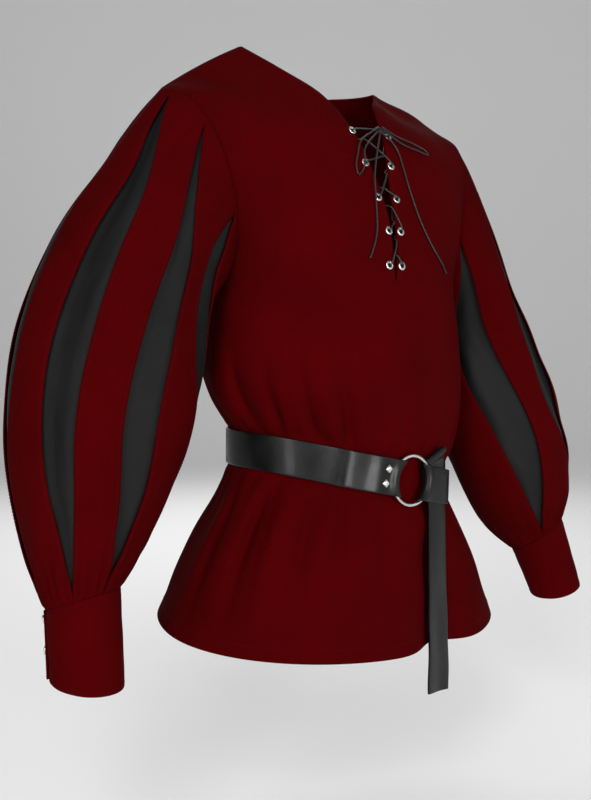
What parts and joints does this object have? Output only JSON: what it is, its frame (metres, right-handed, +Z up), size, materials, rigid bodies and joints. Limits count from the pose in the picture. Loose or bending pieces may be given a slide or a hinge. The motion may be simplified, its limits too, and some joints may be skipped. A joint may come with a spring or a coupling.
{
  "type": "medieval shirt",
  "caption": "Pullover shirt with a laced neck slit, slashed balloon sleeves over a second colour, deep cuffs and a ring belt, held open as worn.",
  "frame": {"origin": "between the shoulders, level with the right neck point, where the wearer's shoulders hold the shirt up", "axes": "+Z up, -Y the way the wearer faces, +X to the wearer's left"},
  "size_m": [0.7862, 0.2808, 0.7549],
  "materials": {
    "red_twill": "matt dark red cotton twill",
    "black_twill": "matt black cotton sateen",
    "belt_leather": "glossy black finished leather",
    "plated_steel": "polished nickel plate",
    "lace_cord": "waxed dark brown cotton cord"
  },
  "bodies": {
    "root": {"back": "red_twill", "sleeve_right": "red_twill", "sleeve_left": "red_twill", "gore_right_inner_front": "black_twill", "gore_right_front": "black_twill", "gore_right_outer_front": "black_twill", "gore_right_outer_back": "black_twill", "gore_right_back": "black_twill", "gore_right_inner_back": "black_twill", "gore_left_inner_front": "black_twill", "gore_left_front": "black_twill", "gore_left_outer_front": "black_twill", "gore_left_outer_back": "black_twill", "gore_left_back": "black_twill", "gore_left_inner_back": "black_twill", "cuff_right": "red_twill", "cuff_stud_right_1": "plated_steel", "cuff_stud_right_2": "plated_steel", "cuff_left": "red_twill", "cuff_stud_left_1": "plated_steel", "cuff_stud_left_2": "plated_steel", "eyelet_right_1": "plated_steel", "eyelet_left_1": "plated_steel", "eyelet_right_2": "plated_steel", "eyelet_left_2": "plated_steel", "eyelet_right_3": "plated_steel", "eyelet_left_3": "plated_steel", "eyelet_right_4": "plated_steel", "eyelet_left_4": "plated_steel", "eyelet_right_5": "plated_steel", "eyelet_left_5": "plated_steel", "front": "red_twill", "belt_strap": "belt_leather", "belt_ring": "plated_steel", "belt_stud_1": "plated_steel", "belt_stud_2": "plated_steel", "belt_tail": "belt_leather", "lace_from_right": "lace_cord", "lace_from_left": "lace_cord", "lace_knot": "lace_cord", "lace_end_long": "lace_cord", "lace_end_short": "lace_cord", "lace_loop_right": "lace_cord", "lace_loop_left": "lace_cord"}
  },
  "joints": []
}
